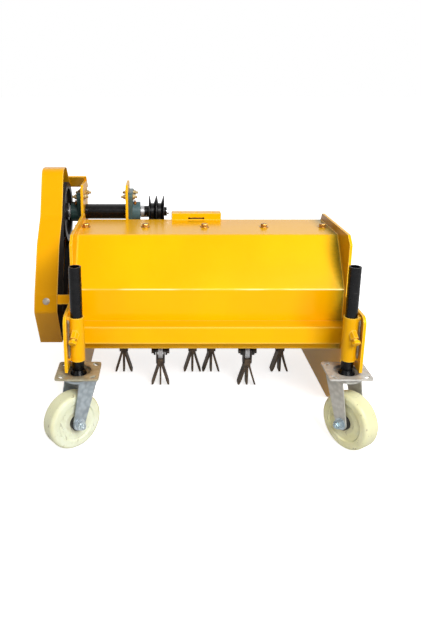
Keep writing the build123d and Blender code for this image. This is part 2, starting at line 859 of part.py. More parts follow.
# Castor height tubes, flared at the foot, and top plates, which slide in the sleeves as one
flare_taper = degrees(atan2(flare_radius - tube_radius, flare_height))
for name, side, turn in castors:
    with BuildPart() as height_tube:
        with BuildSketch(level(dish_floor, side * castor_x)):
            Circle(tube_radius)
        extrude(amount=tube_top - dish_floor)
        with BuildSketch(level(dish_floor, side * castor_x)):
            Circle(flare_radius)
        extrude(amount=flare_height, taper=flare_taper)
        with BuildSketch(level(dish_floor, side * castor_x)):
            Circle(tube_radius - tube_wall)
        extrude(amount=tube_top - dish_floor, mode=Mode.SUBTRACT)
    save(height_tube, "castor_tube_" + name)
    with BuildPart() as top_plate:
        with BuildSketch(level(castor_plate_top, side * castor_x)):
            RectangleRounded(plate_width, plate_depth, castor_plate_round)
            for along in (-1, 1):
                for deep in (-1, 1):
                    spot = (along * (plate_width / 2 - slot_inset), deep * (plate_depth / 2 - slot_inset))
                    with Locations(Location((spot[0], spot[1], 0), (0, 0, along * deep * slot_turn))):
                        SlotOverall(slot_length, slot_width, mode=Mode.SUBTRACT)
        extrude(amount=-castor_plate_thick)
        with BuildSketch(level(castor_plate_top, side * castor_x)):
            Circle(dish_foot_radius)
        extrude(amount=dish_low - castor_plate_top)
        with BuildSketch(level(castor_plate_top, side * castor_x)):
            Circle(dish_radius)
        extrude(amount=dish_floor - castor_plate_top, mode=Mode.SUBTRACT)
        crown_low = dish_low - seat_gap - crown_thick
        with BuildSketch(level(dish_low, side * castor_x)):
            Circle(kingpin_radius)
        extrude(amount=crown_low - seat_gap - dish_low)
        with BuildSketch(level(crown_low - seat_gap, side * castor_x)):
            RegularPolygon(kingpin_nut_radius, 6)
        extrude(amount=-kingpin_nut_height)
    save(top_plate, "castor_plate_" + name)

# Castor forks, axle bolts, wheels and bearing caps
leg_inner = wheel_width / 2 + fork_gap
leg_outer = leg_inner + fork_thick
crown_top = dish_low - seat_gap
for name, side, turn in castors:
    run = wheel_dir(side, turn)
    axle_dir = (sin(radians(turn)), -cos(radians(turn)), 0)
    run_dir = (-axle_dir[1], axle_dir[0], 0)
    toward = 1 if run[0] * run_dir[0] + run[1] * run_dir[1] > 0 else -1
    swivel = (mid_x + side * castor_x, castor_y, 0)
    swivel_level = Plane(origin=(swivel[0], swivel[1], crown_top), x_dir=run_dir, z_dir=(0, 0, 1))
    hub = (swivel[0] + trail * run[0], swivel[1] + trail * run[1], wheel_radius)
    hub_plane = Plane(origin=hub, x_dir=run_dir, z_dir=axle_dir)
    rise = crown_top - wheel_radius
    up_sign = 1 if hub_plane.y_dir.Z > 0 else -1
    with BuildPart() as fork:
        with BuildSketch(swivel_level):
            Circle(crown_radius)
            Circle(kingpin_radius + bore_clearance, mode=Mode.SUBTRACT)
        extrude(amount=-crown_thick)
        for start in (-leg_outer, leg_inner):
            with BuildSketch(hub_plane.offset(start)):
                Circle(fork_end_radius)
                with Locations((-toward * (trail + fork_top_shift), up_sign * (rise - crown_thick / 2))):
                    Rectangle(fork_top_width, crown_thick)
                make_hull()
                Circle(axle_radius, mode=Mode.SUBTRACT)
            extrude(amount=fork_thick)
    save(fork, "castor_fork_" + name)
    with BuildPart() as axle:
        with BuildSketch(hub_plane.offset(-leg_outer)):
            Circle(axle_radius)
        extrude(amount=2 * leg_outer)
        for face in (-1, 1):
            with BuildSketch(hub_plane.offset(face * leg_outer)):
                Circle(axle_washer_radius)
            extrude(amount=face * axle_washer_thick)
            with BuildSketch(hub_plane.offset(face * (leg_outer + axle_washer_thick))):
                RegularPolygon(axle_head_radius, 6)
            extrude(amount=face * axle_head_length)
    save(axle, "castor_axle_" + name)
    spin_sketch = Plane(origin=hub, x_dir=axle_dir, z_dir=run_dir)
    with BuildPart() as wheel:
        with BuildSketch(spin_sketch):
            with BuildLine():
                Polyline(
                    (wheel_recess_depth - wheel_width / 2, axle_radius + bore_clearance),
                    (wheel_recess_depth - wheel_width / 2, wheel_recess_radius - wheel_recess_depth),
                    (-wheel_width / 2, wheel_recess_radius),
                    (-wheel_width / 2, wheel_radius),
                    (wheel_width / 2, wheel_radius),
                    (wheel_width / 2, wheel_recess_radius),
                    (wheel_width / 2 - wheel_recess_depth, wheel_recess_radius - wheel_recess_depth),
                    (wheel_width / 2 - wheel_recess_depth, axle_radius + bore_clearance),
                    close=True,
                )
            make_face()
            fillet(vertices().sort_by_distance((0, 2 * wheel_radius, 0))[:2], wheel_round)
        revolve(axis=Axis(hub, axle_dir))
        for face in (-1, 1):
            with BuildSketch(hub_plane.offset(face * (wheel_width / 2 - cap_seat))):
                Circle(cap_radius)
            extrude(amount=face * cap_seat, mode=Mode.SUBTRACT)
    save(wheel, "castor_wheel_" + name)
    with BuildPart() as caps:
        for face in (-1, 1):
            with BuildSketch(hub_plane.offset(face * (wheel_width / 2 - cap_seat))):
                Circle(cap_radius)
                Circle(axle_radius + bore_clearance, mode=Mode.SUBTRACT)
            extrude(amount=face * (cap_seat + fork_gap - seat_gap))
    save(caps, "wheel_caps_" + name)
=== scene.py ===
import json
import math
import random

import bmesh
import bpy
from mathutils import Matrix, Vector


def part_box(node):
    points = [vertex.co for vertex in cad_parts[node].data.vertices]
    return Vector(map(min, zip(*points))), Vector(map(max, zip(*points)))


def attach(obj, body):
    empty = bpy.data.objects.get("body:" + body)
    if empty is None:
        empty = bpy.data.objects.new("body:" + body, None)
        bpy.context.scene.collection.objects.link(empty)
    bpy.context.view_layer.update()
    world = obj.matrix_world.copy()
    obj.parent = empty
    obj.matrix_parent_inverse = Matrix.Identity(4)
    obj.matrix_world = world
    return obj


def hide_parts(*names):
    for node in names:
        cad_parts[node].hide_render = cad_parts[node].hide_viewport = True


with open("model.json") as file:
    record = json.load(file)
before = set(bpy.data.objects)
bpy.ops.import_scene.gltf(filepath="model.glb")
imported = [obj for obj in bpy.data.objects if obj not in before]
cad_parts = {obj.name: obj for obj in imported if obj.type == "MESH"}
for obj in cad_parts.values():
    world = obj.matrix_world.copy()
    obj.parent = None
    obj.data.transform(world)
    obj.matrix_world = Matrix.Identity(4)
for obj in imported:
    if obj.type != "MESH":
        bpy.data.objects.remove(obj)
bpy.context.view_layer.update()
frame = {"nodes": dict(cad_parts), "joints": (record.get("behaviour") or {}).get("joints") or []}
nodes = frame["nodes"]
print("frame loaded with", len(nodes), "nodes")

mm = 0.001  # sizes are written in millimetres and used in metres
white = (1, 1, 1, 1)


def span(name):  # lowest and highest corner of a node, in millimetres
    low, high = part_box(name)
    return Vector(low) / mm, Vector(high) / mm


def middleOf(name):
    low, high = span(name)
    return (low + high) / 2


def jointOf(name):
    return next(one for one in frame["joints"] if one["name"] == name)


# Deck coordinates start on the ground, under the hood's middle and on the castors' line
deck = Vector((middleOf("hood_front").x, middleOf("castor_tube_left").y, 0))
halfWide = span("hood_front")[1].x - deck.x


def spot(x, y, z):  # deck coordinates in millimetres to a place in the frame
    return (deck + Vector((x, y, z))) * mm


screenCurve = {"most": 255, "straightTo": 0.04045, "slope": 12.92, "offset": 0.055, "power": 2.4}


def linear(channel):  # one screen colour channel as light
    share = channel / screenCurve["most"]
    if share <= screenCurve["straightTo"]:
        return share / screenCurve["slope"]
    return ((share + screenCurve["offset"]) / (1 + screenCurve["offset"])) ** screenCurve["power"]


def tint(colour):  # red, green and blue as a screen shows them
    return (*(linear(channel) for channel in colour), 1.0)


# Shader maths
softSamples = {"samples": 6}  # rays that round an edge


class Wire:  # an output socket that takes part in sums
    def __init__(self, graph, socket):
        self.graph = graph
        self.socket = socket

    def calc(self, operation, *others, clamp=False):
        return self.graph.maths(operation, self, *others, clamp=clamp)

    def __add__(self, other):
        return self.calc("ADD", other)

    def __radd__(self, other):
        return self.calc("ADD", other)

    def __sub__(self, other):
        return self.calc("SUBTRACT", other)

    def __rsub__(self, other):
        return self.graph.maths("SUBTRACT", other, self)

    def __mul__(self, other):
        return self.calc("MULTIPLY", other)

    def __rmul__(self, other):
        return self.calc("MULTIPLY", other)

    def held(self):  # kept between 0 and 1
        return self.calc("ADD", 0.0, clamp=True)

    def ramp(self, low, high):  # 0 at low, 1 at high, smooth between
        inputs = {"Value": self, "From Min": low, "From Max": high}
        return self.graph.node("ShaderNodeMapRange", {"interpolation_type": "SMOOTHSTEP"}, inputs).wire(0)


class Handle:  # a node with its outputs as wires
    def __init__(self, graph, made):
        self.graph = graph
        self.made = made

    def wire(self, output):
        return Wire(self.graph, self.made.outputs[output])


class Graph:  # the node tree of one material or of the world
    def __init__(self, owner):
        owner.use_nodes = True
        self.tree = owner.node_tree
        self.tree.nodes.clear()
        self.places = {}

    def node(self, kind, settings, inputs):
        made = self.tree.nodes.new(kind)
        for key, value in settings.items():
            setattr(made, key, value)
        for key, value in inputs.items():
            if isinstance(value, Wire):
                self.tree.links.new(value.socket, made.inputs[key])
            else:
                made.inputs[key].default_value = value
        return Handle(self, made)

    def maths(self, operation, *values, clamp=False):
        inputs = dict(enumerate(values))
        return self.node("ShaderNodeMath", {"operation": operation, "use_clamp": clamp}, inputs).wire(0)

    def vectors(self, operation, output, *values):
        inputs = dict(enumerate(values))
        return self.node("ShaderNodeVectorMath", {"operation": operation}, inputs).wire(output)

    def mix(self, share, first, second):  # colours: first at 0, second at 1
        settings = {"data_type": "RGBA", "clamp_factor": True}
        return self.node("ShaderNodeMix", settings, {0: share, 6: first, 7: second}).wire(2)

    def place(self):  # place on the object, in metres
        if "object" not in self.places:
            self.places["object"] = self.node("ShaderNodeTexCoord", {}, {}).wire("Object")
        return self.places["object"]

    def moved(self, scale, shift):
        inputs = {"Vector": self.place(), "Location": shift, "Scale": scale}
        return self.node("ShaderNodeMapping", {}, inputs).wire(0)

    def split(self, vector):
        parts = self.node("ShaderNodeSeparateXYZ", {}, {0: vector})
        return parts.wire(0), parts.wire(1), parts.wire(2)

    def facing(self):  # surface direction in the frame
        if "facing" not in self.places:
            self.places["facing"] = self.split(self.node("ShaderNodeNewGeometry", {}, {}).wire("Normal"))
        return self.places["facing"]

    def noise(self, shift, size, detail, rough, stretch=(1, 1, 1), warp=0.0):  # size in millimetres
        inputs = {
            "Vector": self.moved(stretch, shift), "Scale": 1 / (size * mm),
            "Detail": detail, "Roughness": rough, "Distortion": warp,
        }
        return self.node("ShaderNodeTexNoise", {}, inputs).wire(0)

    def cells(self, size, shift, feature="F1"):
        inputs = {"Vector": self.moved((1, 1, 1), shift), "Scale": 1 / (size * mm)}
        return self.node("ShaderNodeTexVoronoi", {"feature": feature}, inputs).wire("Distance")

    def band(self, value, middle, half, soft):  # 1 near a height in millimetres, with soft sides
        low, high = middle - half, middle + half
        rise = value.ramp((low - soft) * mm, (low + soft) * mm)
        return rise * (1.0 - value.ramp((high - soft) * mm, (high + soft) * mm))

    def bump(self, height, depth, strength, under=None):  # depth in millimetres
        inputs = {"Height": height, "Distance": depth * mm, "Strength": strength}
        if under is not None:
            inputs["Normal"] = under
        return self.node("ShaderNodeBump", {}, inputs).wire(0)

    def softEdges(self, radius):
        return self.node("ShaderNodeBevel", softSamples, {"Radius": radius * mm}).wire(0)

    def rounded(self, radius):  # 0 on flat faces, higher where the surface turns within a radius
        flat = self.node("ShaderNodeNewGeometry", {}, {}).wire("True Normal")
        return 1.0 - self.vectors("DOT_PRODUCT", "Value", self.softEdges(radius), flat)

    def fromAxis(self, joint):  # how far a place is from the axis of a joint, in metres
        found = jointOf(joint)
        out = self.vectors("SUBTRACT", "Vector", self.place(), found["pos_m"])
        return self.vectors("LENGTH", "Value", self.vectors("CROSS_PRODUCT", "Vector", out, found["axis"]))

    def surface(self, inputs):
        shader = self.node("ShaderNodeBsdfPrincipled", {}, inputs).wire(0)
        self.node("ShaderNodeOutputMaterial", {}, {"Surface": shader})


def material(name):
    made = bpy.data.materials.new(name)
    return made, Graph(made)


seedSteps = ((1.37, 7), (2.11, 5), (0.73, 9))  # step and wrap of each axis


def shiftOf(seed):  # moves the grain, so that no two pieces look alike
    return tuple(seed * step % wrap for step, wrap in seedSteps)


# grain: size, detail, roughness, stretch and warp of a noise; ramp: where a mask starts and ends
def partsOf(look):
    return look["grain"], look["ramp"], look["share"], look["colour"]


yellowLook = {
    "grain": {
        "cloud": (260, 3, 0.5), "fine": (9, 4, 0.6), "peel": (3.2, 2, 0.5),
        "streak": (34, 3, 0.6, (1, 1, 0.14)), "patch": (60, 2, 0.5), "glint": (170, 2, 0.5),
    },
    "ramp": {
        "cloud": (0.3, 0.72), "streak": (0.52, 0.85), "up": (0.5, 0.95), "dust": (0.5, 0.8),
        "pit": (0.010, 0.024), "patch": (0.56, 0.62), "side": (0.3, 0.7), "glint": (0.42, 0.6),
        "wearAndSheen": (0.004, 0.05),
    },
    "share": {
        "streak": 0.16, "dustUp": 2.0, "dustAll": 1.4, "chip": 0.5, "endShadowFrom": 0.82,
        "endShadow": 0.7, "endShadowFine": 0.6, "highlightLeast": 0.15, "line": 0.7, "wearAndSheen": 0.45,
        "roughCloud": 0.08, "roughFine": 0.05, "roughChip": 0.4, "bumpFine": 0.25,
    },
    # the fold line and edge colours are painted highlights; the low, shade and right-end colours are painted
    # shade
    "colour": {
        "paint": (0.90, 0.435, 0.0, 1), "sunny": (0.95, 0.485, 0.0, 1), "deep": (0.80, 0.29, 0.0, 1),
        "streak": (0.80, 0.37, 0.0, 1), "dust": (0.88, 0.54, 0.07, 1), "chip": (0.20, 0.11, 0.03, 1),
        "low": (0.36, 0.15, 0.0, 1), "shade": (0.26, 0.14, 0.0, 1), "endShadow": (0.20, 0.16, 0.01, 1),
        "line": (1.0, 0.84, 0.42, 1), "wearAndSheen": (1.0, 0.72, 0.16, 1), "glare": (1.0, 0.78, 0.16, 1),
    },
    "pits": 52, "line": {"half": 1.4, "soft": 0.9}, "sheenReach": 2.4, "bump": (0.05, 0.35),
}


def yellowPaint(name, seed=0, deep=0.0, dust=0.03, edge=1.6, gloss=0.24,
                shade=0.0, shadeRise=None, shadeSide=0, ends=0.0, lines=()):
    made, g = material(name)
    shift = shiftOf(seed)
    grain, ramp, share, colour = partsOf(yellowLook)
    cloud = g.noise(shift, *grain["cloud"])
    fine = g.noise(shift, *grain["fine"])
    place = g.split(g.place())
    across, height = place[0], place[2]
    base = g.mix(cloud.ramp(*ramp["cloud"]), colour["paint"], colour["sunny"])
    base = g.mix(deep, base, colour["deep"])
    streak = g.noise(shift, *grain["streak"]).ramp(*ramp["streak"])
    base = g.mix(streak * share["streak"], base, colour["streak"])
    up = g.facing()[2].ramp(*ramp["up"])
    dusty = (up * share["dustUp"] + share["dustAll"]) * fine.ramp(*ramp["dust"]) * dust
    base = g.mix(dusty.held(), base, colour["dust"])
    pits = 1.0 - g.cells(yellowLook["pits"], shift).ramp(*ramp["pit"])
    chip = pits * g.noise(shift, *grain["patch"]).ramp(*ramp["patch"]) * share["chip"]
    base = g.mix(chip.held(), base, colour["chip"])
    if shadeRise:  # darker from one height to another, in millimetres
        lower = (1.0 - height.ramp(shadeRise[1] * mm, shadeRise[0] * mm)) * shade
        if shadeSide:  # only on the face that looks this way along X
            lower = lower * (g.facing()[0] * shadeSide).ramp(*ramp["side"])
        base = g.mix(lower, base, colour["low"])
    elif shade:
        base = g.mix(shade, base, colour["shade"])
    if ends:  # painted shadow and reflection by the right side plate, darker towards the right end of a sheet
        near = (across - deck.x * mm).ramp(share["endShadowFrom"] * halfWide * mm, halfWide * mm)
        endShadow = near * near * (share["endShadow"] + fine * share["endShadowFine"]) * ends
        base = g.mix(endShadow.held(), base, colour["endShadow"])
    # painted highlight: a pale line along a fold at each of these heights
    for fold in lines:  # pale line along a fold at this height, in millimetres
        foldHighlight = g.band(height, fold, **yellowLook["line"])
        glint = g.noise(shift, *grain["glint"]).ramp(*ramp["glint"])
        base = g.mix(foldHighlight * (share["highlightLeast"] + glint * share["line"]), base, colour["line"])
    # painted highlight: paler paint on rounded folds and edges
    wearAndSheen = g.rounded(edge * yellowLook["sheenReach"]).ramp(*ramp["wearAndSheen"])  # pale on folds and edges
    base = g.mix(wearAndSheen * share["wearAndSheen"], base, colour["wearAndSheen"])
    rough = gloss + cloud * share["roughCloud"] + fine * share["roughFine"] + chip * share["roughChip"]
    peel = g.noise(shift, *grain["peel"]) + fine * share["bumpFine"]
    g.surface({
        "Base Color": base, "Roughness": rough,
        "Normal": g.bump(peel, *yellowLook["bump"], g.softEdges(edge)),
        "IOR": 1.5, "Coat Weight": 0.05, "Coat Roughness": 0.1,
        "Specular IOR Level": 0.45, "Specular Tint": colour["glare"],
    })
    return made


darkLook = {
    "grain": {
        "fine": (12, 4, 0.6), "peel": (2.6, 2, 0.5), "wearAndSheen": (70, 5, 0.65),
        "scratch": (5, 2, 0.5, (0.2, 1, 1)),
    },
    "ramp": {"fine": (0.35, 0.75), "wearAndSheen": (0.58, 0.8), "scratch": (0.72, 0.78)},
    "share": {"scratch": 0.25, "roughFine": 0.14, "roughWorn": 0.4, "bumpFine": 0.4},
    "colour": {"rust": (96, 66, 44), "scratch": (92, 90, 92)},
    "paler": 14, "edge": 0.8, "bump": (0.05, 0.35),
}


def darkPaint(name, seed=0, colour=(17, 16, 18), gloss=0.3, rust=0.1, shine=0.4):
    made, g = material(name)
    shift = shiftOf(seed)
    grain, ramp, share, tones = partsOf(darkLook)
    fine = g.noise(shift, *grain["fine"])
    wearAndSheen = g.noise(shift, *grain["wearAndSheen"]).ramp(*ramp["wearAndSheen"]) * rust
    paler = tuple(min(screenCurve["most"], channel + darkLook["paler"]) for channel in colour)
    base = g.mix(fine.ramp(*ramp["fine"]), tint(colour), tint(paler))
    base = g.mix(wearAndSheen, base, tint(tones["rust"]))
    scratch = g.noise(shift, *grain["scratch"]).ramp(*ramp["scratch"])
    base = g.mix(scratch * share["scratch"], base, tint(tones["scratch"]))
    rough = gloss + fine * share["roughFine"] + wearAndSheen * share["roughWorn"]
    peel = g.noise(shift, *grain["peel"]) + fine * share["bumpFine"]
    normal = g.bump(peel, *darkLook["bump"], g.softEdges(darkLook["edge"]))
    g.surface({"Base Color": base, "Roughness": rough, "Normal": normal, "Specular IOR Level": shine})
    return made


zincLook = {
    "grain": {"cloud": (34, 4, 0.6), "fine": (4, 3, 0.6)},
    "ramp": {"flakes": (0.1, 0.75), "stain": (0.52, 0.78)},
    "share": {
        "cloud": 0.4, "ringDarkIn": 0.6, "ringDarkLeast": 0.35, "ringDarkCloud": 0.9, "ringDark": 0.85,
        "roughCloud": 0.18, "roughFlakes": 0.12, "bumpFlakes": 0.6,
    },
    "colour": {"ringDark": (62, 46, 32)},
    "flakes": 11, "darker": 44, "edge": 0.5, "bump": (0.06, 0.4),
}


def zincPlate(name, seed=0, light=(176, 178, 182), stain=(150, 132, 106), amount=0.35,
              spangle=0.5, gloss=0.26, metal=0.9, darkAround=None):
    made, g = material(name)
    shift = shiftOf(seed)
    grain, ramp, share, tones = partsOf(zincLook)
    flakes = g.cells(zincLook["flakes"], shift, "SMOOTH_F1")
    cloud = g.noise(shift, *grain["cloud"])
    darker = tuple(max(0, channel - zincLook["darker"]) for channel in light)
    dull = flakes.ramp(*ramp["flakes"]) * spangle + cloud * share["cloud"]
    base = g.mix(dull.held(), tint(light), tint(darker))
    base = g.mix(cloud.ramp(*ramp["stain"]) * amount, base, tint(stain))
    if darkAround:  # darker round the axis of a joint, inside a radius in millimetres
        joint, radius = darkAround
        ring = 1.0 - g.fromAxis(joint).ramp(radius * share["ringDarkIn"] * mm, radius * mm)
        ringDark = (ring * (share["ringDarkLeast"] + cloud * share["ringDarkCloud"])).held() * share["ringDark"]
        base = g.mix(ringDark, base, tint(tones["ringDark"]))
    rough = gloss + cloud * share["roughCloud"] + flakes * share["roughFlakes"]
    peel = g.noise(shift, *grain["fine"]) + flakes * share["bumpFlakes"]
    normal = g.bump(peel, *zincLook["bump"], g.softEdges(zincLook["edge"]))
    g.surface({"Base Color": base, "Metallic": metal, "Roughness": rough, "Normal": normal})
    return made


bladeLook = {
    "grain": {"scale": (16, 5, 0.65), "fine": (3, 3, 0.6), "rust": (30, 4, 0.6)},
    "ramp": {"scale": (0.35, 0.7), "rust": (0.6, 0.8)},
    "share": {"rust": 0.5, "rough": 0.38, "roughScale": 0.25, "bumpFine": 0.4},
    "colour": {"dark": (58, 44, 34), "light": (112, 94, 74), "rust": (120, 84, 58)},
    "metal": 0.35, "edge": 0.4, "bump": (0.15, 0.5),
}


def bladeSteel(name, seed):
    made, g = material(name)
    shift = shiftOf(seed)
    grain, ramp, share, colour = partsOf(bladeLook)
    scale = g.noise(shift, *grain["scale"])
    base = g.mix(scale.ramp(*ramp["scale"]), tint(colour["dark"]), tint(colour["light"]))
    rust = g.noise(shift, *grain["rust"]).ramp(*ramp["rust"])
    base = g.mix(rust * share["rust"], base, tint(colour["rust"]))
    peel = scale + g.noise(shift, *grain["fine"]) * share["bumpFine"]
    normal = g.bump(peel, *bladeLook["bump"], g.softEdges(bladeLook["edge"]))
    rough = share["rough"] + scale * share["roughScale"]
    g.surface({"Base Color": base, "Metallic": bladeLook["metal"], "Roughness": rough, "Normal": normal})
    return made


nylonLook = {
    "grain": {
        "cloud": (60, 4, 0.55), "fine": (5, 4, 0.6), "spokes": (26, 2, 0.5, (1, 1, 1), 0.8),
        "scuffs": (11, 3, 0.7, (1, 1, 0.5), 0.6), "patch": (38, 2, 0.5),
    },
    "ramp": {"cloud": (0.3, 0.75), "spokes": (0.55, 0.62), "scuffs": (0.59, 0.67), "patch": (0.44, 0.56)},
    "share": {
        "tread": 0.6, "spokes": 0.3, "hub": 0.35, "marks": 0.4, "marksTread": 0.5,
        "rough": 0.34, "roughCloud": 0.12, "roughMarks": 0.2,
    },
    "colour": {
        "tread": (220, 216, 170), "spokes": (212, 212, 178), "hub": (176, 164, 128), "marks": (112, 96, 66),
    },
    "tread": (66, 75), "hub": (28, 34),  # rings, in millimetres from the axle
    "edge": 1.0, "bump": (0.08, 0.4),
}


def nylon(name, joint, seed, pale, deeper):
    made, g = material(name)
    shift = shiftOf(seed)
    grain, ramp, share, colour = partsOf(nylonLook)
    radius = g.fromAxis(joint)
    cloud = g.noise(shift, *grain["cloud"])
    base = g.mix(cloud.ramp(*ramp["cloud"]), tint(pale), tint(deeper))
    tread = radius.ramp(*(ring * mm for ring in nylonLook["tread"]))
    base = g.mix(tread * share["tread"], base, tint(colour["tread"]))
    spokes = g.noise(shift, *grain["spokes"]).ramp(*ramp["spokes"])
    base = g.mix(spokes * (1.0 - tread) * share["spokes"], base, tint(colour["spokes"]))
    # painted shade in the hollow of the hub: darker near the axle
    hub = 1.0 - radius.ramp(*(ring * mm for ring in nylonLook["hub"]))
    base = g.mix(hub * share["hub"], base, tint(colour["hub"]))
    scuffs = g.noise(shift, *grain["scuffs"]).ramp(*ramp["scuffs"])
    marks = scuffs * g.noise(shift, *grain["patch"]).ramp(*ramp["patch"])
    base = g.mix((marks * (share["marks"] + tread * share["marksTread"])).held(), base, tint(colour["marks"]))
    rough = share["rough"] + cloud * share["roughCloud"] + marks * share["roughMarks"]
    peel = g.noise(shift, *grain["fine"]) + cloud
    g.surface({
        "Base Color": base, "Roughness": rough,
        "Normal": g.bump(peel, *nylonLook["bump"], g.softEdges(nylonLook["edge"])),
        "Subsurface Weight": 0.1, "Subsurface Radius": (0.01, 0.008, 0.004), "Subsurface Scale": 0.5,
    })
    return made


rubberLook = {
    "grain": {"weave": (2.2, 3, 0.6, (1, 3, 3)), "dirt": (40, 4, 0.6)},
    "ramp": {"dirt": (0.4, 0.8)},
    "share": {"dirt": 0.6, "rough": 0.62, "roughWeave": 0.2},
    "colour": {"rubber": (22, 21, 21), "dirt": (58, 52, 46)},
    "bump": (0.1, 0.5),
}


def rubber(name, seed):
    made, g = material(name)
    shift = shiftOf(seed)
    grain, ramp, share, colour = partsOf(rubberLook)
    weave = g.noise(shift, *grain["weave"])
    dirt = g.noise(shift, *grain["dirt"]).ramp(*ramp["dirt"])
    base = g.mix(dirt * share["dirt"], tint(colour["rubber"]), tint(colour["dirt"]))
    rough = share["rough"] + weave * share["roughWeave"]
    g.surface({"Base Color": base, "Roughness": rough, "Normal": g.bump(weave, *rubberLook["bump"])})
    return made


print("painting")
yellowPlan = {
    "side_plate_left": {"seed": 1, "deep": 0.10, "edge": 1.5},
    "side_plate_right": {
        "seed": 2, "deep": 0.04, "edge": 1.5, "shade": 0.75, "shadeRise": (225, 300), "shadeSide": -1,
    },
    # painted highlight along the fold at 386 mm, and painted shadow towards the right end
    "hood_front": {"seed": 3, "edge": 3.5, "gloss": 0.18, "ends": 0.9, "lines": (386,)},
    "hood_rear": {"seed": 4, "edge": 3.5},
    # painted shadow towards the right end
    "crossbar": {"seed": 5, "edge": 3.0, "ends": 0.4},
    "hitch_bracket": {"seed": 6, "dust": 0.1},
    "bearing_plate_left": {"seed": 7, "edge": 1.2},
    "bearing_plate_right": {"seed": 8, "edge": 1.2},
    "belt_guard": {"seed": 9, "edge": 2.0, "deep": 0.32, "shade": 0.62, "shadeRise": (470, 350)},
    "guard_strap": {"seed": 10, "deep": 0.3},
    "guard_bracket": {"seed": 11, "deep": 0.2},
    "castor_sleeve_left": {"seed": 12, "deep": 0.05, "dust": 0.12, "shade": 0.1},
    "castor_sleeve_right": {"seed": 13, "deep": 0.05, "dust": 0.12, "shade": 0.3},
    "clamp_bolt_left": {"seed": 14, "edge": 0.8},
    "clamp_bolt_right": {"seed": 15, "edge": 0.8},
    "rotor_bearing_left": {"seed": 16},
    "rotor_bearing_right": {"seed": 17},
}
darkPlan = {
    "jackshaft": {"seed": 21, "colour": (9, 8, 9), "gloss": 0.14, "rust": 0.0},
    "drive_pulley": {"seed": 22, "colour": (12, 11, 12), "gloss": 0.26, "rust": 0.04},
    "upper_belt_pulley": {"seed": 23, "colour": (26, 22, 20)},
    "lower_belt_pulley": {"seed": 24, "colour": (26, 22, 20)},
    "rotor": {"seed": 25, "colour": (30, 27, 25), "rust": 0.3},
    "rotor_lugs": {"seed": 26, "colour": (30, 26, 24), "rust": 0.3},
    "castor_tube_left": {"seed": 27, "colour": (0, 0, 2), "gloss": 0.2, "rust": 0.12, "shine": 0.2},
    "castor_tube_right": {"seed": 28, "colour": (0, 0, 2), "gloss": 0.2, "rust": 0.12, "shine": 0.2},
    "wheel_caps_left": {"seed": 29, "colour": (20, 20, 21), "gloss": 0.45},
    "wheel_caps_right": {"seed": 30, "colour": (20, 20, 21), "gloss": 0.45},
    "bearing_housing_left": {"seed": 31, "colour": (16, 42, 40), "gloss": 0.3, "rust": 0.04},
    "bearing_housing_right": {"seed": 32, "colour": (70, 95, 98), "gloss": 0.26, "rust": 0.04},
}
zincPlan = {
    "shaft_collars": {"seed": 41, "light": (214, 214, 216), "amount": 0.15, "spangle": 0.1, "metal": 0.7},
    "castor_plate_left": {
        "seed": 42, "light": (184, 178, 154), "stain": (146, 116, 72), "amount": 0.8,
        "gloss": 0.3, "metal": 0.45, "darkAround": ("castor_swivel_left", 46),
    },
    "castor_plate_right": {
        "seed": 43, "light": (216, 214, 208), "stain": (180, 146, 110), "amount": 0.7,
        "gloss": 0.3, "metal": 0.45, "darkAround": ("castor_swivel_right", 42),
    },
    "castor_fork_left": {
        "seed": 44, "light": (172, 182, 188), "stain": (120, 118, 112), "amount": 0.4,
        "spangle": 0.6, "gloss": 0.22, "metal": 0.45,
    },
    "castor_fork_right": {"seed": 45, "light": (198, 197, 190), "amount": 0.3, "gloss": 0.3, "metal": 0.3},
    "castor_axle_left": {
        "seed": 46, "light": (196, 206, 212), "amount": 0.2, "spangle": 0.3, "gloss": 0.16, "metal": 0.6,
    },
    "castor_axle_right": {
        "seed": 47, "light": (186, 200, 208), "amount": 0.2, "spangle": 0.3, "gloss": 0.16, "metal": 0.6,
    },
    "flail_shackles": {
        "seed": 48, "light": (84, 78, 76), "stain": (60, 46, 38), "amount": 0.4, "spangle": 0.2, "metal": 0.5,
    },
    "flail_pins": {"seed": 49, "light": (96, 88, 82), "stain": (70, 54, 44), "amount": 0.5},
}
wheelPlan = {
    "left": {"seed": 52, "pale": (234, 238, 216), "deeper": (222, 224, 190)},
    "right": {"seed": 53, "pale": (238, 236, 196), "deeper": (224, 220, 166)},
}
